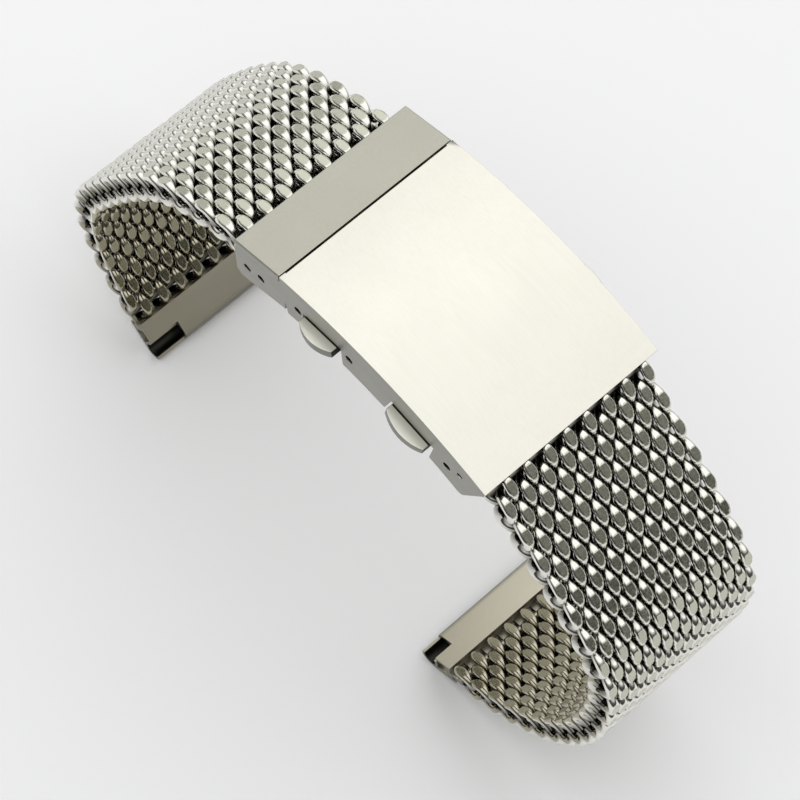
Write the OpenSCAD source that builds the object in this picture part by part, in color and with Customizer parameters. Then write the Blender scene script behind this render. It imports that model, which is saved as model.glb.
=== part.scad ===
// Milanese mesh watch bracelet with a folding clasp, closed and standing on its two lug ends.
// Millimetres, +Z up. X runs from strap A to strap B, Y across the band.
// Sizes along the clasp are x values from the middle of the cover, and depths below its arched top.
// The origin is under the middle of the bracelet, on the surface that the lug ends stand on.

/* [Mesh] */
// Turns of every spiral across the band
turns = 8; // [5:1:10]
// Distance from one turn of a spiral to the next
turn_pitch = 2.5; // [2.4:0.05:2.8]
// Sideways run of the wire along one outer leaf
leaf_step = 0.2; // [0.15:0.01:0.4]
// Width of the flattened wire
wire_w = 0.85; // [0.6:0.05:0.9]
// Thickness of the flattened wire
wire_t = 0.45; // [0.35:0.01:0.47]
// Distance from one spiral to the next along the band
row_pitch = 1.65; // [1.63:0.01:1.7]
// Length of a spiral's loop along the band
loop_len = 2.7; // [2.66:0.01:2.72]
// Thickness of the mesh
mesh_t = 3.5; // [3.2:0.05:3.6]

/* [Strap curve] */
// Spirals in each stretch of strap A, from the clasp to the lug
rows_a = [6, 6, 6, 6, 7, 7]; // [4:1:8]
// Bend from one spiral to the next in each stretch of strap A, in degrees
bend_a = [2.5, 4, 1, 0.5, 6, 4]; // [0:0.5:6.5]
// Spirals in each stretch of strap B, from the clasp to the lug
rows_b = [7, 6, 6, 6, 6, 6, 6]; // [4:1:8]
// Bend from one spiral to the next in each stretch of strap B, in degrees
bend_b = [0, 1.5, 6.5, 2, 2.5, 2.5, 3.5]; // [0:0.5:6.5]
// Fall of strap A where it leaves the clasp, in degrees
fall_a = 17; // [5:1:25]
// Fall of strap B where it leaves the clasp, in degrees
fall_b = 42; // [34:1:48]

/* [Clasp cover] */
// Radius of the arched top
cover_r = 52; // [48:1:60]
// Half the length of the cover, along its chord
cover_half = 17.5; // [17.3:0.1:18.5]
// Thickness of the top plates
plate_t = 1.0; // [0.8:0.05:1.2]
// Thickness of the side walls
wall_t = 0.8; // [0.6:0.05:1]
// Height of the side walls, with the top plate
wall_h = 6.0; // [5.9:0.05:6.5]
// Clearance between the band and each side wall
band_gap = 0.3; // [0.15:0.05:0.4]
// Place of the seam between the short plate and the main plate
seam_x = -10.9; // [-11.3:0.1:-10.5]
// Width of the seam
seam_w = 0.25; // [0.15:0.05:0.4]
// Chamfer round the free edges of the short plate
plate_chamfer = 0.15; // [0.1:0.05:0.35]
// Rise of the lower edge at the end under the short plate
edge_step = 0.4; // [0.2:0.05:0.6]
// Radius of the lower corners of the walls
corner_r = 0.8; // [0.5:0.1:1.2]
// Slant of the walls' ends over strap B, in degrees
end_slant = 11; // [4:1:13]

/* [Clasp pins] */
// Depth of the row of pin holes below the top
pin_depth = 3.6; // [3.5:0.05:3.6]
// Diameter of the pin holes
hole_d = 0.95; // [0.9:0.05:1.1]
// Clearance all round a pin in its hole
pin_gap = 0.03; // [0.02:0.005:0.05]
// Clearance all round a pin in a turning knuckle
turn_gap = 0.06; // [0.04:0.01:0.1]
// Distance from the end of the cover to the hole that holds strap A
strap_hole_in = 1.9; // [1.7:0.1:2.1]
// Distance from the end of the cover to the spare hole for a shorter band
spare_hole_in = 3.9; // [3.7:0.1:4.1]
// Places of the two stud holes beside the first notch
stud_x = [-8.3, -1.1]; // [-8.6:0.1:-0.8]
// Place of the hinge pin
hinge_x = 12.4; // [12.2:0.1:12.6]
// How far the studs reach in past the wall
stud_reach = 0.5; // [0.3:0.05:0.6]
// Place of the small dimple beside the hinge pin
dimple_x = 14.1; // [13.9:0.1:14.3]

/* [Folding blades] */
// Place of the fold pin
fold_x = -12.2; // [-12.3:0.1:-12]
// Diameter of the fold pin
fold_pin_d = 1.1; // [0.9:0.05:1.3]
// Thickness of the upper blade
link_t = 1.0; // [0.95:0.05:1.1]
// Width of the upper blade
link_w = 10; // [8:0.5:10.4]
// Radius of the hinge knuckle
hinge_knuckle_r = 1.2; // [1.15:0.01:1.22]
// Radius of the knuckles round the fold pin
fold_knuckle_r = 1.4; // [1.36:0.01:1.42]
// Width of the middle knuckle on the fold pin
middle_knuckle_w = 8; // [6:0.5:9]
// Width of the two outer knuckles on the fold pin
outer_knuckle_w = 3; // [2:0.5:4]
// Thickness of the lower blade
blade_t = 0.85; // [0.7:0.05:0.9]
// Clearance between the lower blade and each side wall
blade_gap = 0.4; // [0.3:0.05:0.6]
// Clearance round turning knuckles
knuckle_gap = 0.15; // [0.1:0.01:0.2]

/* [Push buttons] */
// Middles of the two notches along the cover
notch_x = [-5.2, 8.1]; // [-5.3:0.1:8.2]
// Length of the notch between the studs
notch_1_len = 5.3; // [5:0.1:5.5]
// Length of the notch beside the hinge pin
notch_2_len = 5.9; // [5.6:0.1:6.1]
// Depth of the top of a notch below the cover's top
notch_depth = 3.2; // [3.1:0.05:3.3]
// How far a notch widens toward the lower edge
notch_lean = 0.5; // [0.3:0.1:0.7]
// Clearance between a button and its notch
button_gap = 0.25; // [0.2:0.05:0.35]
// Extra clearance on the hinge side, for the swing out of the notch
swing_gap = 0.2; // [0.15:0.05:0.3]
// Height of a button's head
button_h = 1.1; // [0.9:0.1:1.4]
// How far the middle of a button stands proud of the wall
button_proud = 1.5; // [1.2:0.1:1.7]
// How far the ends of a button stand proud of the wall
end_proud = 0.8; // [0.4:0.1:1]
// Travel of a button
button_travel = 0.8; // [0.5:0.05:0.85]
// Length of the latch blocks along the cover
block_len = 4.7; // [4.4:0.1:4.8]
// Width of a button's stem along the cover
stem_w = 3.0; // [2.4:0.1:3.4]
// Height of a button's stem
stem_h = 0.9; // [0.7:0.05:1]
// Clearance between a stem and its pocket
stem_gap = 0.08; // [0.05:0.01:0.12]
// Thickness of the leaf springs
spring_t = 0.12; // [0.1:0.01:0.15]

/* [Mesh ends and lugs] */
// Diameter of the rod that each end spiral turns on
rod_d = 0.9; // [0.7:0.05:0.95]
// Thickness of the slotted end plates
comb_t = 0.5; // [0.4:0.05:0.6]
// Length of the slots across the band
slot_w = 1.6; // [1.5:0.05:1.7]
// Outside diameter of the tubes for the spring bars
tube_d = 2.6; // [2.3:0.05:2.7]
// Bore of the tubes
bore_d = 1.7; // [1.5:0.05:1.75]
// Distance from the end rod to the middle of strap A's tube at the clasp
tube_reach = 3.0; // [2.9:0.05:3.2]
// Length of the folded lug sheet between the mesh and its round end
lug_leg = 4.1; // [3.5:0.1:4.7]
// Thickness of the folded lug sheet
lug_sheet = 0.45; // [0.35:0.01:0.5]
// Length of the notch in lug A across the band
notch_a = 4.0; // [3:0.1:5]
// Length of the notch in lug B across the band
notch_b = 2.5; // [2:0.1:3]

/* [Hidden] */
$fn = 48;

polished = [0.86, 0.87, 0.88];
satin = [0.72, 0.72, 0.72];
wire_grey = [0.66, 0.65, 0.64];
pin_grey = [0.5, 0.5, 0.52];

// Widths across the band, each built on the mesh
side_step = turn_pitch / 2 - leaf_step;
spiral_w = turns * turn_pitch - side_step;
band_w = spiral_w + wire_w;
inner_w = band_w + 2 * band_gap;
cover_w = inner_w + 2 * wall_t;
blade_w = inner_w - 2 * blade_gap;
notch_len = [notch_1_len, notch_2_len];
flange_t = 0.6;
flange_gap = 0.15;
flange_out = inner_w / 2 - flange_gap;
flange_in = flange_out - flange_t;
block_w = 2 * (flange_in - button_travel - flange_gap);
relief_w = 2 * (flange_out - button_travel - flange_gap);
spring_space = button_travel + 0.35;
stem_end = link_w / 2 + 0.9 + spring_space;
block_inner = link_w / 2 + 0.4;
tube_w = inner_w - 0.8;
past = 1;

// Blades rolled round their pins: each knuckle sinks a little into its blade
knuckle_seat = 0.12;
link_low = pin_depth - hinge_knuckle_r + knuckle_seat;
link_depth = link_low - link_t;
fold_depth = pin_depth - hinge_knuckle_r + fold_knuckle_r;
blade_depth = fold_depth + fold_knuckle_r - knuckle_seat;
blade_low = blade_depth + blade_t;

// The arch: z of the surface at a depth below the top, its slope, and the place on the top over a point
arch_z = sqrt(cover_r * cover_r - cover_half * cover_half);
function arch(x, depth) = sqrt((cover_r - depth) * (cover_r - depth) - x * x) - arch_z;
function slope(x, depth = 0) = asin(x / (cover_r - depth));
function top_x(x, depth) = x * cover_r / (cover_r - depth);
function direction(angle) = [cos(angle), sin(angle)];

// The mesh: half sizes of a loop, and the place of each end rod in it
loop_x = loop_len / 2;
loop_z = mesh_t / 2;
rod_back = loop_x - wire_t - rod_d / 2 - 0.12;
slot_near = rod_d / 2 - 0.05;
slot_far = 1.5;
web_end = slot_far + 0.6;

// Every spiral of a strap as [x, z, heading], from its first place, heading and bends
function row_bends(rows, bends, hand) =
    [for (k = [0 : len(rows) - 1], i = [1 : rows[k]]) hand * bends[k]];
function route(p, h, bends, i = 0) = i == len(bends) ? [] :
    let (next_h = i == 0 ? h : h + bends[i])
    let (next_p = i == 0 ? p : p + row_pitch / 2 * (direction(h) + direction(next_h)))
    concat([[next_p[0], next_p[1], next_h]], route(next_p, next_h, bends, i + 1));
function rows_before(rows, k) = k == 0 ? 0 : rows[k - 1] + rows_before(rows, k - 1);

strap_hole_x = strap_hole_in - cover_half;
spare_hole_x = spare_hole_in - cover_half;
strap_hole = [strap_hole_x, arch(strap_hole_x, pin_depth)];
start_a = strap_hole + (tube_reach + rod_back) * direction(180 + fall_a);
rows_at_a = route(start_a, 180 + fall_a, row_bends(rows_a, bend_a, 1));

// The hooked end of the lower blade carries strap B's first spiral
hook_fall = 25;
hook_t = 0.8;
hook_x = cover_half - 2.9;
hook_z = arch(hook_x, 0) - 2.62;
rod_b = [hook_x, hook_z] + (web_end + 0.3) * direction(-hook_fall);
start_b = rod_b + rod_back * direction(-fall_b);
rows_at_b = route(start_b, -fall_b, row_bends(rows_b, bend_b, -1));

// Lug tubes, and the tilt that brings both down on one level
leg_start = slot_far - 0.1;
lug_reach = leg_start + lug_leg;
last_a = rows_at_a[len(rows_at_a) - 1];
last_b = rows_at_b[len(rows_at_b) - 1];
lug_at_a = [last_a[0], last_a[1]] + (rod_back + lug_reach) * direction(last_a[2]);
lug_at_b = [last_b[0], last_b[1]] + (rod_back + lug_reach) * direction(last_b[2]);
tilt = atan2(lug_at_a[1] - lug_at_b[1], lug_at_b[0] - lug_at_a[0]);
function level(p) = [p[0] * cos(tilt) - p[1] * sin(tilt), p[0] * sin(tilt) + p[1] * cos(tilt)];
function corner_x(row, sx, sz) =
    level([row[0], row[1]] + sx * loop_x * direction(row[2]) + sz * loop_z * direction(row[2] + 90))[0];
left_x = min([for (row = rows_at_a, sx = [-1, 1], sz = [-1, 1]) corner_x(row, sx, sz)]);
right_x = max([for (row = rows_at_b, sx = [-1, 1], sz = [-1, 1]) corner_x(row, sx, sz)]);
middle_x = (left_x + right_x) / 2;
floor_z = level(lug_at_a)[1] - tube_d / 2;

module stand() {
    translate([-middle_x, 0, -floor_z]) rotate([0, -tilt, 0]) children();
}

// Puts a piece drawn along X at a place and heading in the XZ plane
module heading(p, angle) {
    translate([p[0], 0, p[1]]) rotate([0, -angle, 0]) children();
}

// Puts a piece on the arch, its Z square to the top
module on_arch(x, depth) {
    translate([x, 0, arch(x, depth)]) rotate([0, slope(x, depth), 0]) children();
}

module across(w) {
    rotate([90, 0, 0]) linear_extrude(height = w, center = true) children();
}

module round_bar(d, length) {
    rotate([90, 0, 0]) cylinder(d = d, h = length, center = true);
}

module block(x1, x2, y1, y2, z1, z2) {
    translate([x1, y1, z1]) cube([x2 - x1, y2 - y1, z2 - z1]);
}

// Outline of a band of the arch between two depths and two places, with square ends
module arch_band(depth_1, depth_2, x1, x2) {
    reach = 1.3;
    intersection() {
        translate([0, -arch_z]) difference() {
            circle(r = cover_r - depth_1, $fn = 200);
            circle(r = cover_r - depth_2, $fn = 200);
        }
        polygon([
            [0, -arch_z],
            [x1, arch(x1, 0) + arch_z] * reach - [0, arch_z],
            [x2, arch(x2, 0) + arch_z] * reach - [0, arch_z]
        ]);
    }
}

// The wall's end under the short plate, from the plate's underside to the lower edge
end_low_z = -6.2;
end_low_x = -cover_half + 0.3;
step_x = seam_x + 0.5;
step_z = arch(step_x, wall_h) + edge_step;
plate_angle = atan2(arch(seam_x, 0), seam_x + cover_half);
lower_angle = atan2(step_z - end_low_z, step_x - end_low_x);
module wall_end() {
    under = plate_t / cos(plate_angle);
    inset = corner_r * [1, 1 / cos(lower_angle) + tan(lower_angle)];
    lap = 0.3;
    round_x = end_low_x + inset[0];
    round_z = end_low_z + inset[1];
    polygon(concat(
        [[-cover_half + 0.05, -under],
         [step_x + lap, arch(seam_x, 0) - under + (step_x + lap - seam_x) * tan(plate_angle)],
         [step_x + lap, step_z + lap * tan(lower_angle)]],
        [for (a = [270 + lower_angle : -15 : 180])
            [round_x + corner_r * cos(a), round_z + corner_r * sin(a)]]
    ));
}

module notch_outline(n) {
    half = notch_len[n] / 2;
    low = -wall_h - past;
    translate([notch_x[n], arch(notch_x[n], 0)]) rotate(-slope(notch_x[n])) polygon([
        [-half, -notch_depth], [half, -notch_depth], [half, low], [-half - notch_lean, low]]);
}

module wall_outline() {
    difference() {
        union() {
            difference() {
                arch_band(0, wall_h, step_x - 0.6, cover_half);
                // the raised lower edge
                translate([step_x - past, step_z + 0.2 - wall_h]) square([past, wall_h]);
            }
            wall_end();
        }
        // the short plate's seat
        polygon([[-cover_half - past, 2 * plate_t + past], [seam_x, 2 * plate_t + 2 * past],
            [seam_x, arch(seam_x, 0) - plate_t / cos(plate_angle)],
            [-cover_half - past, -plate_t / cos(plate_angle) - past * tan(plate_angle)]]);
        wall_slant();
        for (n = [0, 1]) notch_outline(n);
    }
}

// What the slanted end over strap B takes off the wall, with the rounded lower corner
module wall_slant() {
    set_back = 0.06;
    dip = 0.06;
    lap = 0.2;
    end_back = set_back + (wall_h - plate_t) * tan(end_slant);
    round_x = -end_back - corner_r * tan(45 - end_slant / 2) - dip * tan(end_slant);
    translate([0, -arch_z]) rotate(-slope(cover_half)) translate([0, cover_r - wall_h]) polygon(concat(
        [[past, -past], [past, wall_h - plate_t + lap],
         [-set_back + lap * tan(end_slant), wall_h - plate_t + lap]],
        [for (a = [-end_slant : -13 : -90])
            [round_x + corner_r * cos(a), corner_r * (1 + sin(a)) - dip]],
        [[round_x, -past]]
    ));
}

module holes_at(xs, d) {
    for (x = xs) on_arch(x, pin_depth) round_bar(d, cover_w + 2 * past);
}

module cover() {
    dimple_d = 0.7;
    dimple_depth = 0.25;
    relief_len = 1.7;
    relief_t = 0.35;
    color(polished) stand() difference() {
        union() {
            across(cover_w) arch_band(0, plate_t, seam_x + seam_w / 2, cover_half);
            for (side = [-1, 1]) translate([0, side * (cover_w - wall_t) / 2, 0])
                across(wall_t) wall_outline();
        }
        holes_at(concat([strap_hole_x, spare_hole_x], stud_x, [hinge_x]), hole_d);
        for (side = [-1, 1]) on_arch(dimple_x, pin_depth - 1.2)
            translate([0, side * cover_w / 2, 0]) round_bar(dimple_d, 2 * dimple_depth);
        // the slope under the plate's end, over strap B's first spiral
        across(inner_w) polygon([
            [cover_half - relief_len, arch(cover_half - relief_len, plate_t + 0.1)],
            [cover_half + past, -relief_t], [cover_half + past, -plate_t - past],
            [cover_half - relief_len, -plate_t - past]]);
    }
}

// Flat plate with chamfered free edges, its underside on the walls
module end_plate() {
    length = (seam_x - seam_w / 2 + cover_half) / cos(plate_angle);
    c = plate_chamfer;
    color(satin) stand() translate([-cover_half, 0, 0]) rotate([0, -plate_angle, 0]) intersection() {
        across(cover_w) polygon([[c, 0], [length, 0], [length - plate_t * tan(plate_angle), -plate_t],
            [0, -plate_t], [0, -c]]);
        rotate([90, 0, 90]) linear_extrude(height = length) polygon([
            [-cover_w / 2, -plate_t], [cover_w / 2, -plate_t], [cover_w / 2, -c], [cover_w / 2 - c, 0],
            [-cover_w / 2 + c, 0], [-cover_w / 2, -c]]);
    }
}

module hinge_pin() {
    color(pin_grey) stand() on_arch(hinge_x, pin_depth) round_bar(hole_d - 2 * pin_gap, cover_w);
}

module catch_studs() {
    length = wall_t + stud_reach;
    color(pin_grey) stand() for (x = stud_x, side = [-1, 1])
        on_arch(x, pin_depth) translate([0, side * (cover_w - length) / 2, 0])
            round_bar(hole_d - 2 * pin_gap, length);
}

// Box of a latch block on the arch over a notch's middle, between two depths
block_top = notch_depth - 0.2;
block_low = blade_depth - 0.2;
head_top = notch_depth + 0.12;
stem_depth = head_top + 0.15;

// Pocket for one button's stem and its spring, in the frame of its notch
module pocket(side) {
    mirror([0, side < 0 ? 1 : 0, 0])
        block(-stem_w / 2 - stem_gap, stem_w / 2 + stem_gap, stem_end - spring_space, block_w / 2 + past,
            -stem_depth - stem_h - stem_gap, -stem_depth + stem_gap);
}

module in_notch(n) {
    on_arch(notch_x[n], 0) children();
}

module fold_link() {
    hinge_w = blade_w - 0.6;
    color(satin) stand() difference() {
        union() {
            across(link_w) arch_band(link_depth, link_low, top_x(fold_x, fold_depth),
                top_x(hinge_x, pin_depth) + 0.4);
            on_arch(hinge_x, pin_depth) round_bar(2 * hinge_knuckle_r, hinge_w);
            on_arch(fold_x, fold_depth) round_bar(2 * fold_knuckle_r, middle_knuckle_w);
            in_notch(0)
                block(-block_len / 2, block_len / 2, -block_w / 2, block_w / 2, -block_low, -link_depth);
        }
        on_arch(hinge_x, pin_depth) round_bar(hole_d - 2 * pin_gap + 2 * turn_gap, cover_w);
        on_arch(fold_x, fold_depth) round_bar(fold_pin_d + 2 * turn_gap, cover_w);
        for (side = [-1, 1]) on_arch(fold_x, fold_depth)
            translate([0, side * (middle_knuckle_w / 2 + outer_knuckle_w), 0])
                round_bar(2 * (fold_knuckle_r + knuckle_gap), 2 * outer_knuckle_w);
        in_notch(0) for (side = [-1, 1]) pocket(side);
    }
}

module fold_pin() {
    length = middle_knuckle_w + 2 * knuckle_gap + 2 * outer_knuckle_w;
    color(pin_grey) stand() on_arch(fold_x, fold_depth) round_bar(fold_pin_d, length);
}

// Slotted plate with a round rod, drawn from the rod's axis along +X, that carries one end spiral
module comb(reach, shift) {
    first = -spiral_w / 2 + leaf_step + side_step / 2 + shift;
    round_bar(rod_d, band_w);
    difference() {
        block(0, reach, -band_w / 2, band_w / 2, -comb_t / 2, comb_t / 2);
        for (i = [0 : turns - 1]) translate([0, first + i * turn_pitch, 0])
            block(slot_near, slot_far, -slot_w / 2, slot_w / 2, -comb_t, comb_t);
    }
}

module lower_blade() {
    knuckle_y = middle_knuckle_w / 2 + knuckle_gap + outer_knuckle_w / 2;
    foot_z = arch(hook_x - hook_t, blade_low);
    color(satin) stand() difference() {
        union() {
            across(blade_w) arch_band(blade_depth, blade_low, top_x(fold_x, fold_depth),
                top_x(hook_x - hook_t, blade_depth));
            across(blade_w) polygon([
                [hook_x - hook_t - 0.6, foot_z], [hook_x - 0.4, foot_z], [hook_x, foot_z + 0.4],
                [hook_x, hook_z - 0.1], [hook_x - hook_t * 0.4, hook_z + 0.35],
                [hook_x - hook_t, hook_z + 0.1], [hook_x - hook_t, foot_z + blade_t],
                [hook_x - hook_t - 0.6, foot_z + blade_t]
            ]);
            heading(rod_b, 180 - hook_fall) comb(web_end + 0.5, turn_pitch / 2);
            for (side = [-1, 1]) on_arch(fold_x, fold_depth) translate([0, side * knuckle_y, 0])
                round_bar(2 * fold_knuckle_r, outer_knuckle_w);
            for (side = [-1, 1]) in_notch(1) mirror([0, side < 0 ? 1 : 0, 0])
                block(-block_len / 2, block_len / 2, block_inner, block_w / 2,
                    -blade_depth - blade_t / 2, -block_top);
        }
        on_arch(fold_x, fold_depth)
            round_bar(2 * (fold_knuckle_r + knuckle_gap), middle_knuckle_w + 2 * knuckle_gap);
        on_arch(fold_x, fold_depth) round_bar(fold_pin_d + 2 * pin_gap, cover_w);
        for (n = [0, 1], side = [-1, 1]) in_notch(n) mirror([0, side < 0 ? 1 : 0, 0])
            block(-notch_len[n] / 2 - 0.6, notch_len[n] / 2 + 0.6, relief_w / 2, cover_w / 2,
                -blade_low - past, -blade_depth + 0.5);
        in_notch(1) for (side = [-1, 1]) pocket(side);
    }
}

// Head with a bowed front between square ends, flange behind the wall and stem in its pocket
module button(n, side) {
    head_w = notch_len[n] - 2 * button_gap - swing_gap;
    bow = button_proud - end_proud;
    front_r = (head_w * head_w / 4 + bow * bow) / (2 * bow);
    end_y = cover_w / 2 + end_proud;
    flange_w = head_w + 0.9;
    color(polished) stand() in_notch(n) mirror([0, side < 0 ? 1 : 0, 0]) {
        translate([-swing_gap / 2, 0, -head_top - button_h]) linear_extrude(height = button_h) {
            translate([-head_w / 2, flange_out - 0.1]) square([head_w, end_y - flange_out + 0.1]);
            intersection() {
                translate([0, cover_w / 2 + button_proud - front_r]) circle(r = front_r, $fn = 120);
                translate([-head_w / 2, end_y - 0.1]) square([head_w, bow + past]);
            }
        }
        block(-flange_w / 2, flange_w / 2, flange_in, flange_out, -stem_depth - stem_h - 0.1, -head_top);
        block(-stem_w / 2, stem_w / 2, stem_end, flange_in + 0.1, -stem_depth - stem_h, -stem_depth);
    }
}

// Bent leaf between the end of a stem and the bottom of its pocket
module button_spring(n, side) {
    gap = 0.05;
    half = stem_w / 2 - 0.2;
    back = stem_end - spring_space + gap;
    front = stem_end - gap - spring_t;
    color(pin_grey) stand() in_notch(n) mirror([0, side < 0 ? 1 : 0, 0])
        translate([0, 0, -stem_depth - stem_h + 0.1]) linear_extrude(height = stem_h - 0.2) polygon([
            [-half, back], [-half + 0.4, back], [0, front], [half - 0.4, back], [half, back],
            [half, back + spring_t], [half - 0.3, back + spring_t], [0.1, front + spring_t],
            [-0.1, front + spring_t], [-half + 0.3, back + spring_t], [-half, back + spring_t]]);
}

// Sprung bar through strap A's tube, with thin tips in the wall holes
module strap_bar() {
    color(pin_grey) stand() on_arch(strap_hole_x, pin_depth) {
        round_bar(hole_d - 2 * pin_gap, cover_w - wall_t / 2);
        round_bar(bore_d - 2 * turn_gap, inner_w - 0.2);
    }
}

module band_end_a() {
    color(satin) stand() difference() {
        union() {
            heading(strap_hole, 180 + fall_a) {
                round_bar(tube_d, tube_w);
                translate([tube_reach, 0, 0]) rotate([0, 180, 0]) comb(tube_reach - bore_d / 2, 0);
            }
        }
        heading(strap_hole, 180 + fall_a) round_bar(bore_d, cover_w);
    }
}

// One spiral: a three-sided tube with its flat side outward, four bends to a turn
bend_sx = [1, -1, -1, 1];
bend_sz = [1, 1, -1, -1];
rings = 4 * turns;
function ring_y(i) = -spiral_w / 2 + floor(i / 2) * turn_pitch / 2 + (i % 2) * leaf_step;
function spiral_ring(i, start) =
    let (sx = bend_sx[(i + start) % 4], sz = bend_sz[(i + start) % 4], y = ring_y(i)) [
        [sx * loop_x, y - wire_w / 2, sz * loop_z],
        [sx * loop_x, y + wire_w / 2, sz * loop_z],
        [sx * (loop_x - wire_t), y, sz * (loop_z - wire_t)]];
function placed(v, row) = [
    row[0] + v[0] * cos(row[2]) - v[2] * sin(row[2]),
    v[1],
    row[1] + v[0] * sin(row[2]) + v[2] * cos(row[2])];
function spiral_points(row, start) =
    [for (i = [0 : rings - 1], v = spiral_ring(i, start)) placed(v, row)];
function spiral_faces(base) = concat(
    [[base, base + 1, base + 2]],
    [for (i = [0 : rings - 2], j = [0 : 2]) let (a = base + 3 * i + j, b = base + 3 * i + (j + 1) % 3)
        [a, a + 3, b]],
    [for (i = [0 : rings - 2], j = [0 : 2]) let (a = base + 3 * i + j, b = base + 3 * i + (j + 1) % 3)
        [b, a + 3, b + 3]],
    [[base + 3 * rings - 1, base + 3 * rings - 2, base + 3 * rings - 3]]);

// A stretch of mesh: each spiral threads through the next, turned half round. lead is 1 where the strap's
// first spiral is one of those turned half round.
module mesh(rows_at, rows, k, lead) {
    first = rows_before(rows, k);
    color(wire_grey) stand() polyhedron(
        points = [for (i = [0 : rows[k] - 1])
            each spiral_points(rows_at[first + i], 2 * ((first + i + lead) % 2))],
        faces = [for (i = [0 : rows[k] - 1]) each spiral_faces(3 * rings * i)]);
}

// Sheet folded round the spring bar, brazed to the slotted plate that carries the last spiral
module lug(last, count, lead, hand, notch_w) {
    shift = (count + lead) % 2 == 0 ? 0 : turn_pitch / 2;
    leg_z = tube_d / 2;
    color(satin) stand() heading([last[0], last[1]] + rod_back * direction(last[2]), last[2]) {
        difference() {
            union() {
                comb(web_end, shift);
                block(slot_far + 0.2, web_end + 0.4, -band_w / 2, band_w / 2, -leg_z + 0.1, leg_z - 0.1);
                for (side = [-1, 1]) mirror([0, 0, side < 0 ? 1 : 0])
                    block(leg_start, lug_reach, -band_w / 2, band_w / 2, leg_z - lug_sheet, leg_z);
                translate([lug_reach, 0, 0]) round_bar(tube_d, band_w);
            }
            translate([lug_reach, 0, 0]) round_bar(bore_d, cover_w);
            // the notch for the bar's thumb lever, on the wrist side
            mirror([0, 0, hand < 0 ? 1 : 0])
                block(lug_reach - 1.6, lug_reach + tube_d,
                    -band_w / 2 - past, -band_w / 2 + notch_w, 0.3, tube_d);
        }
    }
}

cover();
end_plate();
hinge_pin();
catch_studs();
fold_link();
fold_pin();
lower_blade();
button(0, -1);  // button_1_near
button(0, 1);  // button_1_far
button(1, -1);  // button_2_near
button(1, 1);  // button_2_far
button_spring(0, -1);  // spring_1_near
button_spring(0, 1);  // spring_1_far
button_spring(1, -1);  // spring_2_near
button_spring(1, 1);  // spring_2_far
strap_bar();
band_end_a();
mesh(rows_at_a, rows_a, 0, 0);  // mesh_a_1
mesh(rows_at_a, rows_a, 1, 0);  // mesh_a_2
mesh(rows_at_a, rows_a, 2, 0);  // mesh_a_3
mesh(rows_at_a, rows_a, 3, 0);  // mesh_a_4
mesh(rows_at_a, rows_a, 4, 0);  // mesh_a_5
mesh(rows_at_a, rows_a, 5, 0);  // mesh_a_6
lug(last_a, len(rows_at_a), 0, 1, notch_a);  // lug_a
mesh(rows_at_b, rows_b, 0, 1);  // mesh_b_1
mesh(rows_at_b, rows_b, 1, 1);  // mesh_b_2
mesh(rows_at_b, rows_b, 2, 1);  // mesh_b_3
mesh(rows_at_b, rows_b, 3, 1);  // mesh_b_4
mesh(rows_at_b, rows_b, 4, 1);  // mesh_b_5
mesh(rows_at_b, rows_b, 5, 1);  // mesh_b_6
mesh(rows_at_b, rows_b, 6, 1);  // mesh_b_7
lug(last_b, len(rows_at_b), 1, -1, notch_b);  // lug_b
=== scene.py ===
# %% [markdown]
# # A milanese mesh bracelet with a folding clasp
#
# The bracelet stands closed on its two lug ends. Its solids come from the CAD model, with every place and joint.
# This file gives them their looks: woven round wire for the mesh, broken edges on the clasp, and the steel
# finishes. One unit is a metre, and the frame is the CAD frame: X runs from strap A to strap B, Y across the band
# and Z up.

# %% Load the solids
import math

import bmesh
import bpy
from mathutils import Matrix, Vector


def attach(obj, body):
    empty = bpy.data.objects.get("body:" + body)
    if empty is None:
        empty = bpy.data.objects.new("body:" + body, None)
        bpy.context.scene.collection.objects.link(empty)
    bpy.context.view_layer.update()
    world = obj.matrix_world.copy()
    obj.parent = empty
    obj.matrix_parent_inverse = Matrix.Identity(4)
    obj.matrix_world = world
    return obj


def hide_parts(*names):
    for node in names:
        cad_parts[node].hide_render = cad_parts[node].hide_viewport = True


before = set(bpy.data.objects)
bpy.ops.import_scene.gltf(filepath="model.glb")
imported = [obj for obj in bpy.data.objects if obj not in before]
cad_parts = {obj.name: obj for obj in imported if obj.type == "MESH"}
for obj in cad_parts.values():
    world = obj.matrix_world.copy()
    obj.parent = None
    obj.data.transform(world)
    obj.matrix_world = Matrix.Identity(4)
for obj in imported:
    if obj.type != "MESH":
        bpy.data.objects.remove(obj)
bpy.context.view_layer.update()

MM = 0.001

# %% [markdown]
# ## Two helpers for nodes and colours
#
# Geometry and shader trees are built from text here, so one small function adds a node, sets it up and links it.
# Colours are written as hex values, as a colour picker shows them, and turned into the linear values that the
# renderer works with.

# %% Node and colour helpers
MATH, VMATH = "ShaderNodeMath", "ShaderNodeVectorMath"


def add_node(tree, kind, *feeds, named=None, **settings):
    """Adds a node. Each feed fills the next input with a value, an output or a node's first output; None skips."""
    made = tree.nodes.new(kind)
    for name, value in settings.items():
        setattr(made, name, value)
    for key, value in [*enumerate(feeds), *(named or {}).items()]:
        if isinstance(value, bpy.types.Node):
            value = next(out for out in value.outputs if out.enabled)
        if isinstance(value, bpy.types.NodeSocket):
            tree.links.new(value, made.inputs[key])
        elif value is not None:
            made.inputs[key].default_value = value
    return made


def linear(hex_colour):
    """An sRGB hex colour as linear red, green, blue and alpha."""
    parts = [int(hex_colour[i : i + 2], 16) / 255 for i in (1, 3, 5)]
    return tuple(c / 12.92 if c <= 0.04045 else ((c + 0.055) / 1.055) ** 2.4 for c in parts) + (1.0,)


print("helpers ready")

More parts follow.
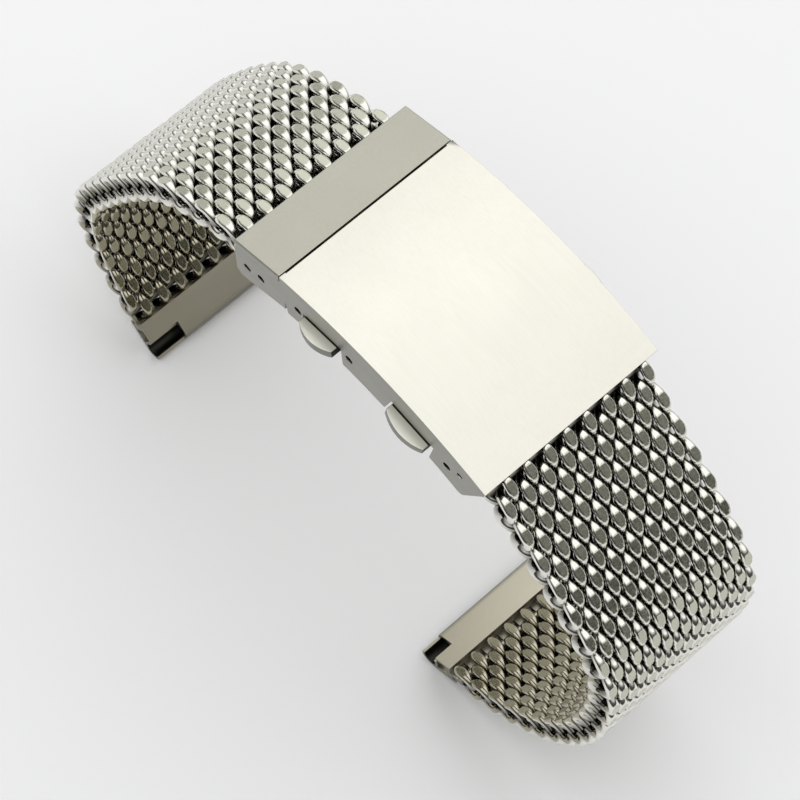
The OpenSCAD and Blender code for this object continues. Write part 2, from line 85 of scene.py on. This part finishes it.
# %% [markdown]
# ## The finishes
#
# The whole bracelet is stainless steel, and only the way each surface was worked differs. Flat grey paint would
# not do: steel shows the room, so metallic is 1 everywhere, and the grain, the roughness and the small bumps tell
# the parts apart. A metal keeps the default IOR, because its base colour already sets how much it reflects.
#
# A brushed sheet has scratches all in one direction. They are drawn by a noise that is stretched up to a hundred
# times along X. Real scratches lie about 0.03 mm apart, too fine to show, so these are drawn 0.12 to 0.3 mm apart.
#
# One sheet isn't one colour either. Its top is brushed bright and its sides are plainer, and painted shade also
# darkens its sides, the cut faces that look along X and the hollows where little light gets in. The side that a
# point is on comes from its normal, and a hollow of painted shade is given as a cylinder along Y.

# %% Brushed and satin sheet
# Painted shade: the dark colour put in shaded hollows and on faces that look along X.
PAINTED_SHADE = "#3C3B37"


def sheet_steel(name, top_colour, shaded_side_colour, top_rough, side_rough, scratch_mm, scratch_length_mm, depth_mm,
        shaded_cylinder_mm=None, shaded_end_colour=None):
    """Brushed stainless sheet: scratches along X vary its colour, its roughness and its bump.
    The cylinder, given as (x, z, radius, outer y), is a hollow along Y that is painted in shade.
    The end colour is painted shade on the cut faces that look along X."""
    made = bpy.data.materials.new(name)
    made.use_nodes = True
    tree = made.node_tree
    tree.nodes.clear()
    coordinates = add_node(tree, "ShaderNodeTexCoord").outputs
    where = coordinates["Object"]
    normal = add_node(tree, "ShaderNodeSeparateXYZ", coordinates["Normal"]).outputs

    along = (scratch_mm / scratch_length_mm, 1.0, 1.0)
    stretched = add_node(tree, "ShaderNodeMapping", where, named={"Scale": along})
    scratches = add_node(tree, "ShaderNodeTexNoise", stretched,
        named={"Scale": 1 / (scratch_mm * MM), "Detail": 3.0, "Roughness": 0.65})
    handling = add_node(tree, "ShaderNodeTexNoise", where, named={"Scale": 1 / (6 * MM), "Detail": 2.0})
    wear = add_node(tree, "ShaderNodeMix", 0.3, None, scratches, handling)

    # Painted shade: faces that don't look up get the darker side colour. The roughness split is the real finish.
    is_top = add_node(tree, "ShaderNodeMapRange", normal["Z"], 0.45, 0.8).outputs["Result"]
    shade = add_node(tree, "ShaderNodeMix", is_top, data_type="RGBA",
        named={6: linear(shaded_side_colour), 7: linear(top_colour)}).outputs[2]
    # Painted shade: faces that look along X are painted dark.
    if shaded_end_colour:
        is_end = add_node(tree, MATH, add_node(tree, MATH, normal["X"], operation="ABSOLUTE"), 0.8,
            operation="GREATER_THAN")
        shade = add_node(tree, "ShaderNodeMix", is_end, data_type="RGBA",
            named={6: shade, 7: linear(shaded_end_colour)}).outputs[2]
    # Painted shade: inside the cylinder the sheet is painted dark, as in a shaded hollow.
    if shaded_cylinder_mm:
        x, z, radius, outer_y = [v * MM for v in shaded_cylinder_mm]
        from_axis = add_node(tree, VMATH, where, (x, 0, z), operation="SUBTRACT")
        from_axis = add_node(tree, VMATH, from_axis, (1, 0, 1), operation="MULTIPLY")
        reach = add_node(tree, VMATH, from_axis, operation="LENGTH").outputs["Value"]
        across = add_node(tree, "ShaderNodeSeparateXYZ", where).outputs["Y"]
        across = add_node(tree, MATH, across, operation="ABSOLUTE")
        in_painted_shade = add_node(tree, MATH, add_node(tree, MATH, reach, radius, operation="LESS_THAN"),
            add_node(tree, MATH, across, outer_y, operation="LESS_THAN"), operation="MULTIPLY")
        shade = add_node(tree, "ShaderNodeMix", in_painted_shade, data_type="RGBA",
            named={6: shade, 7: linear(PAINTED_SHADE)}).outputs[2]

    worn = add_node(tree, "ShaderNodeMapRange", wear, 0.3, 0.7, 0.94, 1.0)
    colour = add_node(tree, "ShaderNodeMix", 1.0, data_type="RGBA", blend_type="MULTIPLY",
        named={6: shade, 7: worn}).outputs[2]
    spread = add_node(tree, "ShaderNodeMapRange", wear, 0.3, 0.7, 0.05, -0.05)
    level = add_node(tree, "ShaderNodeMix", is_top, None, side_rough, top_rough)
    rough = add_node(tree, MATH, level, spread, operation="ADD")
    bump = add_node(tree, "ShaderNodeBump", 0.35, depth_mm * MM, named={"Height": scratches})
    steel = add_node(tree, "ShaderNodeBsdfPrincipled",
        named={"Base Color": colour, "Metallic": 1.0, "Roughness": rough, "Normal": bump})
    add_node(tree, "ShaderNodeOutputMaterial", steel)
    return made


print("painted shade colour is", PAINTED_SHADE)

# %% [markdown]
# The clasp's cover is the brightest sheet, brushed along the band. The short plate and the lug ends are satin, a
# finer and duller brushing, and the buttons are polished on a felt wheel, which leaves short marks. The blades
# inside are plain sheet as it came from the mill and the pins are drawn bar, and both are painted dark, as painted
# shade inside the clasp and in its holes.

# %% The sheet finishes of the clasp and the lug ends
# Cylinders of painted shade: under the cover's arch, where the buttons pass under the wall, and inside the lug ends'
# tubes.
UNDER_THE_ARCH = (7.468, 12.702, 50.9, 10.88)
IN_THE_NOTCHES = (0, 0, 1000, 11.13)
LUG_TUBE_X, LUG_TUBE_Z, LUG_TUBE_RADIUS, WHOLE_WIDTH = (-27.3127, 20.3483), 1.3, 0.95, 99

# Each side colour here is painted shade, and so are the dark end colours of the cover and the buttons.
brushed_cover_steel = sheet_steel("brushed_stainless_cover", "#DFDDD2", "#9E9D96", 0.34, 0.42, 0.15, 15, 0.012,
    UNDER_THE_ARCH, PAINTED_SHADE)
satin_plate_steel = sheet_steel("satin_stainless_plate", "#B8B7AA", "#9E9D96", 0.42, 0.42, 0.12, 6, 0.010)
satin_lug_a_steel, satin_lug_b_steel = [
    sheet_steel("satin_stainless_lug", "#DBD5C2", "#8F8D82", 0.42, 0.45, 0.12, 6, 0.010,
        (x, LUG_TUBE_Z, LUG_TUBE_RADIUS, WHOLE_WIDTH))
    for x in LUG_TUBE_X]
polished_button_steel = sheet_steel("polished_stainless_button", "#DDDCD1", "#83827B", 0.32, 0.35, 0.3, 1.2, 0.012,
    IN_THE_NOTCHES, "#35342F")
# The blades are painted dark, as painted shade inside the clasp.
shaded_blade_steel = sheet_steel("plain_stainless_blade_in_painted_shade", "#8A8982", "#6A6963", 0.42, 0.45, 0.12, 6, 0.008)
# The pins are painted darker still, as painted shade in the holes and inside the clasp.
shaded_pin_steel = sheet_steel("drawn_stainless_pin_in_painted_shade", "#6B6A65", "#4A4945", 0.36, 0.36, 0.10, 0.6, 0.008)
print("sheet finishes:", [m.name for m in bpy.data.materials if "stainless" in m.name])

# %% [markdown]
# ## The wire's finish
#
# The mesh is stainless wire wound into flat spirals. After weaving, both faces are ground, which leaves a dull flat
# on each loop, and the rest of the wire keeps its drawn polish. Deep between the loops the wire is painted dark, as
# painted shade, and it grows lighter towards the band's faces. The inner side of the band, which lies on the skin,
# gets less polish than the outer side and looks darker and warmer.
#
# The spirals carry a number made with them: how deep a point lies, from 0 at the band's faces to 1 in its middle,
# and below 0 where the wire was ground away. The material reads it for the ground flats and for the painted shade.
# The grinding marks are finer than 0.05 mm, so the grain is drawn 0.35 mm wide to show at all.

# %% Woven wire steel
BAND_CENTRE = (0.003, 0.0, 0.033)


def wire_steel(name):
    """Drawn and polished wire with ground flats, painted dark towards its depths as painted shade."""
    made = bpy.data.materials.new(name)
    made.use_nodes = True
    tree = made.node_tree
    tree.nodes.clear()
    coordinates = add_node(tree, "ShaderNodeTexCoord").outputs
    where = coordinates["Object"]
    grain = add_node(tree, "ShaderNodeTexNoise", where,
        named={"Scale": 1 / (0.35 * MM), "Detail": 3.0, "Roughness": 0.6})

    depth = add_node(tree, "ShaderNodeAttribute", attribute_name="depth").outputs["Fac"]
    ground = add_node(tree, "ShaderNodeMapRange", depth, 0.0, -0.006).outputs["Result"]
    # Painted shade: light at the band's faces, nearly black deep between the loops.
    painted_shade_by_depth = add_node(tree, "ShaderNodeValToRGB", depth)
    face, core = painted_shade_by_depth.color_ramp.elements
    face.position, face.color = 0.15, linear("#E8E7E0")
    core.position, core.color = 0.72, linear("#2A2926")
    painted_shade_by_depth.color_ramp.elements.new(0.42).color = linear("#A3A29B")
    shade = add_node(tree, "ShaderNodeMix", ground, data_type="RGBA",
        named={6: painted_shade_by_depth, 7: linear("#C6C6B7")}).outputs[2]

    from_centre = add_node(tree, VMATH, where, BAND_CENTRE, operation="SUBTRACT")
    outward = add_node(tree, VMATH, from_centre, coordinates["Normal"], operation="DOT_PRODUCT").outputs["Value"]
    is_inner = add_node(tree, "ShaderNodeMapRange", outward, 3 * MM, -3 * MM).outputs["Result"]
    shade = add_node(tree, "ShaderNodeMix", is_inner, data_type="RGBA", blend_type="MULTIPLY",
        named={6: shade, 7: linear("#C8C3B4")}).outputs[2]

    mottle = add_node(tree, "ShaderNodeMapRange", grain, 0.3, 0.7, 0.92, 1.0)
    colour = add_node(tree, "ShaderNodeMix", 1.0, data_type="RGBA", blend_type="MULTIPLY",
        named={6: shade, 7: mottle}).outputs[2]
    flat_rough = add_node(tree, "ShaderNodeMapRange", grain, 0.3, 0.7, 0.20, 0.30)
    rough = add_node(tree, "ShaderNodeMix", ground, None, 0.08, flat_rough)
    bump = add_node(tree, "ShaderNodeBump", 0.15, 0.006 * MM, named={"Height": grain})
    steel = add_node(tree, "ShaderNodeBsdfPrincipled",
        named={"Base Color": colour, "Metallic": 1.0, "Roughness": rough, "Normal": bump})
    add_node(tree, "ShaderNodeOutputMaterial", steel)
    return made


woven_wire_steel = wire_steel("woven_stainless_wire")
print("wire finish:", woven_wire_steel.name)

# %% [markdown]
# ## The mesh: one spiral, repeated along a path
#
# Each strap is a chain of flat spirals that lie across the band, 38 in strap A and 43 in strap B. A spiral could
# be bent from a curve by hand, but 81 of them follow one rule, so Geometry Nodes make them. The tree walks round
# a loop while it moves across the band, and leans to and fro on the way, so that the wires cross the band's faces
# at a slant. It sweeps a slightly flattened circle along that line, presses the wire a little wider on both
# faces, and cuts the faces flat, as the grinding belt does. It puts one such spiral on every point of the strap's
# path, turned by a number stored on the point. Every second spiral is turned half round, so that its loops fall
# between those of its neighbours.

# %% The spiral's sizes
SPIRAL = {
    "Turns": 8, "Rings a turn": 32, "Wire sides": 16,
    "Turn pitch": 2.5 * MM, "Half width": 9.45 * MM,
    "Half length": 1.42 * MM, "Half height": 1.475 * MM, "Corner power": 2.05,
    "Lean": 0.58, "Lean again": 0.06,
    "Wire width": 1.06 * MM, "Wire thickness": 0.92 * MM, "Pressed wider": 0.32,
    "Ground half": 1.75 * MM, "Edge strip": 0.7 * MM, "Edge depth": 0.6,
}
ROW_PITCH = 1.65 * MM
print("a spiral is", round((2 * SPIRAL["Half length"] + SPIRAL["Wire thickness"]) / MM, 2), "mm long")

# %% The spiral tree and its inputs
tree = bpy.data.node_groups.new("woven_spirals", "GeometryNodeTree")
tree.interface.new_socket("Geometry", in_out="INPUT", socket_type="NodeSocketGeometry")
for label, value in SPIRAL.items():
    kind = "NodeSocketInt" if isinstance(value, int) else "NodeSocketFloat"
    tree.interface.new_socket(label, in_out="INPUT", socket_type=kind)
tree.interface.new_socket("Finish", in_out="INPUT", socket_type="NodeSocketMaterial")
tree.interface.new_socket("Geometry", in_out="OUTPUT", socket_type="NodeSocketGeometry")
size = add_node(tree, "NodeGroupInput").outputs
print("tree inputs:", [out.name for out in size if out.name])

# %% [markdown]
# ### The line of the wire
#
# Seen from the side of the band, the wire runs round a loop a little squarer than a circle. Such a loop comes from
# a circle by raising the size of each coordinate to a power just under 1 and giving it back its sign. The count
# of the rings is the only thing that drives it: the phase grows by a full turn for every turn of the spiral.

# %% Once round the loop for every turn
steps = add_node(tree, MATH, size["Turns"], size["Rings a turn"], operation="MULTIPLY")
rings = add_node(tree, MATH, steps, 1.0, operation="ADD")
share = add_node(tree, MATH, add_node(tree, "GeometryNodeInputIndex"), size["Rings a turn"], operation="DIVIDE")
phase = add_node(tree, MATH, share, math.tau, operation="MULTIPLY")
circle = add_node(tree, "ShaderNodeCombineXYZ",
    add_node(tree, MATH, phase, operation="COSINE"), 0.0, add_node(tree, MATH, phase, operation="SINE"))
signs = add_node(tree, VMATH, circle, operation="SIGN")
amounts = add_node(tree, VMATH, circle, operation="ABSOLUTE")
power = add_node(tree, MATH, 2.0, size["Corner power"], operation="DIVIDE")
powers = add_node(tree, "ShaderNodeCombineXYZ", power, power, power)
halves = add_node(tree, "ShaderNodeCombineXYZ", size["Half length"], 1.0, size["Half height"])
rounded = add_node(tree, VMATH, amounts, powers, operation="POWER")
loop = add_node(tree, VMATH, add_node(tree, VMATH, rounded, signs, operation="MULTIPLY"), halves,
    operation="MULTIPLY")
print("the loop takes", len(tree.nodes), "nodes")

# %% On across the band, leaning to and fro
twice = add_node(tree, MATH, phase, 2.0, operation="MULTIPLY")
four_times = add_node(tree, MATH, phase, 4.0, operation="MULTIPLY")
lean = add_node(tree, MATH, add_node(tree, MATH, twice, operation="SINE"), size["Lean"], phase,
    operation="MULTIPLY_ADD")
lean = add_node(tree, MATH, add_node(tree, MATH, four_times, operation="SINE"), size["Lean again"], lean,
    operation="MULTIPLY_ADD")
a_radian = add_node(tree, MATH, size["Turn pitch"], math.tau, operation="DIVIDE")
middle = add_node(tree, MATH, size["Turns"], math.pi, operation="MULTIPLY")
spread = add_node(tree, MATH, add_node(tree, MATH, lean, middle, operation="SUBTRACT"), a_radian,
    operation="MULTIPLY")
near_edge = add_node(tree, MATH, size["Half width"], -1.0, operation="MULTIPLY")
across = add_node(tree, MATH, add_node(tree, MATH, spread, size["Half width"], operation="MINIMUM"),
    near_edge, operation="MAXIMUM")
spot = add_node(tree, VMATH, loop, add_node(tree, "ShaderNodeCombineXYZ", 0.0, across, 0.0), operation="ADD")
print("the wire's line takes", len(tree.nodes), "nodes")

# %% [markdown]
# A profile swept along a curve needs to know which way is up, or it twists. Here up is away from the loop's
# middle, square to the loop. The profile's outer side has more points than its inner side, because the outer side
# shows. It runs clockwise, which makes the swept faces look inward, so they are turned over. What the sweep made is
# then moved: points beside the middle of the wire go further aside on both faces, as they do when a loop is
# pressed flat.

# %% The wire's outward side
side_power = add_node(tree, MATH, 2.0, power, operation="SUBTRACT")
side_powers = add_node(tree, "ShaderNodeCombineXYZ", side_power, side_power, side_power)
side = add_node(tree, VMATH, amounts, side_powers, operation="POWER")
outward = add_node(tree, VMATH, add_node(tree, VMATH, side, signs, operation="MULTIPLY"), halves,
    operation="DIVIDE")
line = add_node(tree, "GeometryNodeMeshLine", rings, named={"Offset": (0.0, 0.0, 0.0)})
path = add_node(tree, "GeometryNodeMeshToCurve", line)
path = add_node(tree, "GeometryNodeSetPosition", path, named={"Position": spot})
path = add_node(tree, "GeometryNodeSetCurveNormal", path, mode="FREE",
    named={"Normal": add_node(tree, VMATH, outward, operation="NORMALIZE")})
print("the path and its outward side take", len(tree.nodes), "nodes")

# %% The wire's profile: a circle, flattened, with more points on its outward side
PACKING = -0.3
round_wire = add_node(tree, "GeometryNodeCurvePrimitiveCircle", size["Wire sides"], named={"Radius": 1.0})
turn = add_node(tree, MATH, add_node(tree, "GeometryNodeSplineParameter"), math.tau, operation="MULTIPLY")
packed = add_node(tree, MATH, add_node(tree, MATH, turn, operation="SINE"), PACKING, turn,
    operation="MULTIPLY_ADD")
thick = add_node(tree, MATH, size["Wire thickness"], 0.5, operation="MULTIPLY")
wide = add_node(tree, MATH, size["Wire width"], 0.5, operation="MULTIPLY")
profile = add_node(tree, "GeometryNodeSetPosition", round_wire, named={"Position": add_node(tree,
    "ShaderNodeCombineXYZ",
    add_node(tree, MATH, add_node(tree, MATH, packed, operation="SINE"), wide, operation="MULTIPLY"),
    add_node(tree, MATH, add_node(tree, MATH, packed, operation="COSINE"), thick, operation="MULTIPLY"))})
print("the wire has a profile of", SPIRAL["Wire sides"], "points")

# %% Sweep the wire, then press it wider on both faces
flatness = add_node(tree, MATH, add_node(tree, MATH, phase, operation="SINE"), 4.0, operation="POWER")
pressed = add_node(tree, MATH, flatness, size["Pressed wider"], operation="MULTIPLY")
for label, value in (("centre_y", across), ("pressed", pressed)):
    path = add_node(tree, "GeometryNodeStoreNamedAttribute", path,
        named={"Name": label, "Value": value}, data_type="FLOAT", domain="POINT")
wire = add_node(tree, "GeometryNodeCurveToMesh", path, profile, named={"Fill Caps": True})
wire = add_node(tree, "GeometryNodeFlipFaces", wire)
centre_y = add_node(tree, "GeometryNodeInputNamedAttribute", named={"Name": "centre_y"}, data_type="FLOAT")
pressed = add_node(tree, "GeometryNodeInputNamedAttribute", named={"Name": "pressed"}, data_type="FLOAT")
point = add_node(tree, "ShaderNodeSeparateXYZ", add_node(tree, "GeometryNodeInputPosition"))
aside = add_node(tree, MATH, point.outputs["Y"], centre_y, operation="SUBTRACT")
aside = add_node(tree, MATH, aside, pressed, operation="MULTIPLY")
wire = add_node(tree, "GeometryNodeSetPosition", wire,
    named={"Offset": add_node(tree, "ShaderNodeCombineXYZ", 0.0, aside, 0.0)})
print("swept and pressed after", len(tree.nodes), "nodes")

# %% [markdown]
# The depth that the finish reads is stored before the faces are cut, because the cut moves the points. The edges of
# the band lie open to the light, so the depth counts for less there, and with it the painted shade. A cut face is
# shaded flat, and the rest of the wire smooth.

# %% How deep each point lies
place = add_node(tree, "ShaderNodeSeparateXYZ", add_node(tree, "GeometryNodeInputPosition")).outputs
from_middle = add_node(tree, MATH, place["Z"], operation="ABSOLUTE")
outer_share = add_node(tree, MATH, from_middle, size["Ground half"], operation="DIVIDE")
depth = add_node(tree, MATH, 1.0, outer_share, operation="SUBTRACT")
# The painted shade is weaker at the band's edges, which lie open to the light.
sideways = add_node(tree, MATH, place["Y"], operation="ABSOLUTE")
strip_start = add_node(tree, MATH, size["Half width"], size["Edge strip"], operation="SUBTRACT")
edge_share = add_node(tree, "ShaderNodeMapRange", sideways, strip_start, size["Half width"], 1.0, size["Edge depth"])
wire = add_node(tree, "GeometryNodeStoreNamedAttribute", wire,
    named={"Name": "depth", "Value": add_node(tree, MATH, edge_share, depth, operation="MULTIPLY")},
    data_type="FLOAT", domain="POINT")
print("depth stored, times", SPIRAL["Edge depth"], "at the band's edges")

# %% The ground faces
NEARLY_LEVEL = 0.9999
lower = add_node(tree, MATH, size["Ground half"], -1.0, operation="MULTIPLY")
capped = add_node(tree, MATH, add_node(tree, MATH, place["Z"], size["Ground half"], operation="MINIMUM"), lower,
    operation="MAXIMUM")
wire = add_node(tree, "GeometryNodeSetPosition", wire, named={"Position": add_node(tree,
    "ShaderNodeCombineXYZ", place["X"], place["Y"], capped)})
facing = add_node(tree, "ShaderNodeSeparateXYZ", add_node(tree, "GeometryNodeInputNormal")).outputs["Z"]
is_round = add_node(tree, MATH, add_node(tree, MATH, facing, operation="ABSOLUTE"), NEARLY_LEVEL,
    operation="LESS_THAN")
wire = add_node(tree, "GeometryNodeSetShadeSmooth", wire, domain="FACE", named={"Shade Smooth": is_round})
print("ground flat at", SPIRAL["Ground half"] / MM, "mm from the band's middle")

# %% One spiral on every point of the path
heading = add_node(tree, "GeometryNodeInputNamedAttribute", named={"Name": "turn"}, data_type="FLOAT")
turned = add_node(tree, "FunctionNodeAxisAngleToRotation", (0.0, 1.0, 0.0), heading)
rows = add_node(tree, "GeometryNodeInstanceOnPoints", size["Geometry"],
    named={"Instance": wire, "Rotation": turned})
rows = add_node(tree, "GeometryNodeRealizeInstances", rows)
rows = add_node(tree, "GeometryNodeSetMaterial", rows, named={"Material": size["Finish"]})
add_node(tree, "NodeGroupOutput", rows)
print("the spiral tree has", len(tree.nodes), "nodes")

# %% [markdown]
# ## The path of each strap
#
# The CAD model gives where the first spiral of each strap lies, which way it points, and how much the strap bends
# from each spiral to the next. The same rule is walked here, so the wire falls exactly where the solids are. The
# strap is cut into the stretches that the CAD joints turn, because each piece rides on one body.

# %% Walk along the straps
def walk(x_mm, z_mm, heading, side, counts, bends):
    """One list of (x, z, heading, number) a stretch, from the clasp to the lug. side is 1 or -1."""
    place = Vector((x_mm, 0, z_mm)) * MM
    stretches, number = [], 0
    for count, bend in zip(counts, bends):
        stretch = []
        for _ in range(count):
            if number:
                ahead = heading + side * bend
                for angle in (heading, ahead):
                    radians = math.radians(angle)
                    place = place + ROW_PITCH / 2 * Vector((math.cos(radians), 0, math.sin(radians)))
                heading = ahead
            stretch.append((place.x, place.z, heading, number))
            number += 1
        stretches.append(stretch)
    return stretches


strap_a = walk(-16.287, 55.123, 203.520, 1, (6, 6, 6, 6, 7, 7), (2.5, 4, 1, 0.5, 6, 4))
strap_b = walk(19.149, 60.390, -35.480, -1, (7, 6, 6, 6, 6, 6, 6), (0, 1.5, 6.5, 2, 2.5, 2.5, 3.5))
print("last spirals at", [round(v / MM, 2) for s in (strap_a, strap_b) for v in s[-1][-1][:2]])

# %% Weave each stretch
def weave(name, stretch, lead):
    """One mesh of spirals for one stretch, kept as a plain mesh. lead 1 turns the first spiral half round."""
    points = bpy.data.meshes.new(name + "_path")
    points.from_pydata([(x, 0, z) for x, z, _, _ in stretch], [], [])
    turns = points.attributes.new("turn", "FLOAT", "POINT")
    turns.data.foreach_set("value", [-math.radians(angle + 180 * ((n + lead) % 2)) for _, _, angle, n in stretch])
    carrier = bpy.data.objects.new(name + "_path", points)
    bpy.context.scene.collection.objects.link(carrier)
    modifier = carrier.modifiers.new("spirals", "NODES")
    modifier.node_group = tree
    sockets = {item.name: item.identifier for item in tree.interface.items_tree if item.in_out == "INPUT"}
    for label, value in {**SPIRAL, "Finish": woven_wire_steel}.items():
        modifier[sockets[label]] = value
    graph = bpy.context.evaluated_depsgraph_get()
    woven = bpy.data.meshes.new_from_object(carrier.evaluated_get(graph))
    woven.name = name
    bpy.data.objects.remove(carrier)
    piece = bpy.data.objects.new(name, woven)
    bpy.context.scene.collection.objects.link(piece)
    return piece


for strap, stretches, lead in (("a", strap_a, 0), ("b", strap_b, 1)):
    for k, stretch in enumerate(stretches, 1):
        piece = weave(f"wire_{strap}_{k}", stretch, lead)
        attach(piece, f"stretch_{strap}_{k}")
        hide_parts(f"mesh_{strap}_{k}")
        print(piece.name, len(piece.data.polygons), "faces")

# %% [markdown]
# ## The clasp and the lug ends
#
# The CAD solids of the clasp have the right shapes but razor edges. Real edges are broken by tumbling and
# brushing, and the thin bright line they catch is what makes sheet metal look like metal. Each visible solid is
# copied, its loose triangles are welded, and a small Bevel rounds only the real edges. The copy stands for the
# solid.

# %% Copies with broken edges
SHARP = math.radians(32)
NEARLY_FLAT = math.radians(0.4)


def dressed(node, body, finish, edge_mm, name):
    """A copy of a CAD node with rounded edges, riding on the same body."""
    shape = bmesh.new()
    shape.from_mesh(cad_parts[node].data)
    bmesh.ops.remove_doubles(shape, verts=shape.verts, dist=0.002 * MM)
    bmesh.ops.dissolve_limit(shape, angle_limit=NEARLY_FLAT, verts=shape.verts, edges=shape.edges)
    copy = bpy.data.meshes.new(name)
    for face in shape.faces:
        face.smooth = True
    shape.to_mesh(copy)
    shape.free()
    copy.materials.clear()
    copy.materials.append(finish)
    copy.set_sharp_from_angle(angle=SHARP)
    piece = bpy.data.objects.new(name, copy)
    bpy.context.scene.collection.objects.link(piece)
    bevel = piece.modifiers.new("broken_edges", "BEVEL")
    bevel.width = edge_mm * MM
    bevel.segments = 2
    bevel.limit_method = "ANGLE"
    bevel.angle_limit = SHARP
    bevel.harden_normals = True
    bevel.use_clamp_overlap = True
    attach(piece, body)
    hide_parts(node)
    return piece


dressed("cover", "clasp_cover", brushed_cover_steel, 0.10, "clasp_cover_sheet")
dressed("end_plate", "clasp_cover", satin_plate_steel, 0.05, "short_plate")
for pair in (1, 2):
    for edge in ("near", "far"):
        dressed(f"button_{pair}_{edge}", f"button_{pair}_{edge}", polished_button_steel,
            0.10, f"push_button_{pair}_{edge}")
for node, body, finish, edge_mm, name in (
        ("lug_a", "lug_a", satin_lug_a_steel, 0.08, "lug_end_a"),
        ("lug_b", "lug_b", satin_lug_b_steel, 0.08, "lug_end_b"),
        ("fold_link", "upper_blade", shaded_blade_steel, 0.06, "upper_blade_sheet"),
        ("lower_blade", "lower_blade", shaded_blade_steel, 0.06, "lower_blade_sheet"),
        ("band_end_a", "end_a", shaded_blade_steel, 0.05, "strap_a_end")):
    dressed(node, body, finish, edge_mm, name)
print("sheets and buttons with broken edges ready")

# %% [markdown]
# ## The pins and the springs
#
# The ends of the hinge pin and of the studs show in the holes of the cover's walls. They sit a little below the
# wall's face, and their finish is painted dark as painted shade, so the holes look dark. The fold pin, the bar and
# the springs lie inside the clasp, where their plain solids are right, so they only get their finish, which is
# painted dark in the same way.

# %% Pin ends sunk into their holes
PIN_END = 10.35 * MM
for node in ("hinge_pin", "catch_studs"):
    pin = dressed(node, "clasp_cover", shaded_pin_steel, 0.04, node + "_sunk")
    for vertex in pin.data.vertices:
        vertex.co.y = max(-PIN_END, min(PIN_END, vertex.co.y))
print("pins end", PIN_END / MM, "mm from the middle")

# %% The finish of the small solids inside
for node in ("fold_pin", "strap_bar", "spring_1_near", "spring_1_far", "spring_2_near", "spring_2_far"):
    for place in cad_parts[node].material_slots:
        place.material = shaded_pin_steel
print("fold pin, bar and springs finished")

# %% [markdown]
# ## The floor, the light and the camera
#
# The bracelet stands on a pale sheet of paper in a light tent, as small shiny goods are photographed. Polished
# wire looks black and white only if the tent has bright and dark sides. So the world is white overhead and grey
# towards the horizon, darker past strap B than past strap A, which is made by leaning its axis. One weak, broad
# lamp at the upper left softens the shadow. The camera looks down at 65 degrees through a long lens.

# %% Floor
floor_mesh = bpy.data.meshes.new("floor")
floor_mesh.from_pydata([(-3, -3, 0), (3, -3, 0), (3, 3, 0), (-3, 3, 0)], [], [(0, 1, 2, 3)])
floor = bpy.data.objects.new("floor", floor_mesh)
bpy.context.scene.collection.objects.link(floor)
paper = bpy.data.materials.new("matt_white_paper")
paper.use_nodes = True
paper.node_tree.nodes["Principled BSDF"].inputs["Base Color"].default_value = linear("#F8F8F9")
paper.node_tree.nodes["Principled BSDF"].inputs["Roughness"].default_value = 0.9
floor_mesh.materials.append(paper)
print("floor:", paper.name)

# %% One broad, weak lamp
LAMP_SIZE, LAMP_RADIANCE = 0.45, 0.15
light = bpy.data.lights.new("upper_left", "AREA")
light.shape = "SQUARE"
light.size = LAMP_SIZE
light.energy = LAMP_RADIANCE * math.pi * LAMP_SIZE * LAMP_SIZE
lamp = bpy.data.objects.new("upper_left", light)
lamp.location = (-0.35, 0.35, 0.75)
lamp.rotation_euler = (Vector((0, 0, 0.03)) - lamp.location).to_track_quat("-Z", "Y").to_euler()
bpy.context.scene.collection.objects.link(lamp)
print("lamp of", round(light.energy, 3), "watts")

# %% The light tent: bright above, grey towards the horizon
TENT_AXIS = (-0.25, 0.25, 0.935)
TENT_STRENGTH = 1.29
room = bpy.data.worlds.new("light_tent")
bpy.context.scene.world = room
room.use_nodes = True
tent_tree = room.node_tree
tent_tree.nodes.clear()
looking = add_node(tent_tree, "ShaderNodeTexCoord").outputs["Generated"]
height = add_node(tent_tree, VMATH, looking, TENT_AXIS, operation="DOT_PRODUCT").outputs["Value"]
tent = add_node(tent_tree, "ShaderNodeValToRGB", height)
low, roof = tent.color_ramp.elements
low.position, low.color = 0.05, linear("#444442")
roof.position, roof.color = 0.64, linear("#FFFFFF")
for position, colour in ((0.24, "#646462"), (0.38, "#A2A2A0"), (0.47, "#B4B4B2"), (0.58, "#ECECEB")):
    tent.color_ramp.elements.new(position).color = linear(colour)
glow = add_node(tent_tree, "ShaderNodeBackground", tent, TENT_STRENGTH)
add_node(tent_tree, "ShaderNodeOutputWorld", glow)
print("light tent with", len(tent.color_ramp.elements), "bands")

# %% Camera
camera_data = bpy.data.cameras.new("camera")
camera_data.sensor_width = 36
camera_data.lens = 126.3
camera_data.clip_start, camera_data.clip_end = 0.01, 20
camera = bpy.data.objects.new("camera", camera_data)
bpy.context.scene.collection.objects.link(camera)
right = Vector((0.66554, 0.74018, 0.09591)).normalized()
ahead = Vector((-0.18039, 0.28419, -0.94164)).normalized()
up = right.cross(ahead).normalized()
right = ahead.cross(up)
turned = Matrix((right, up, -ahead)).transposed().to_4x4()
camera.matrix_world = Matrix.Translation((0.053829, -0.08393, 0.305675)) @ turned
bpy.context.scene.camera = camera
bpy.context.scene.view_settings.view_transform = "Standard"
print("camera at", [round(v, 4) for v in camera.location])
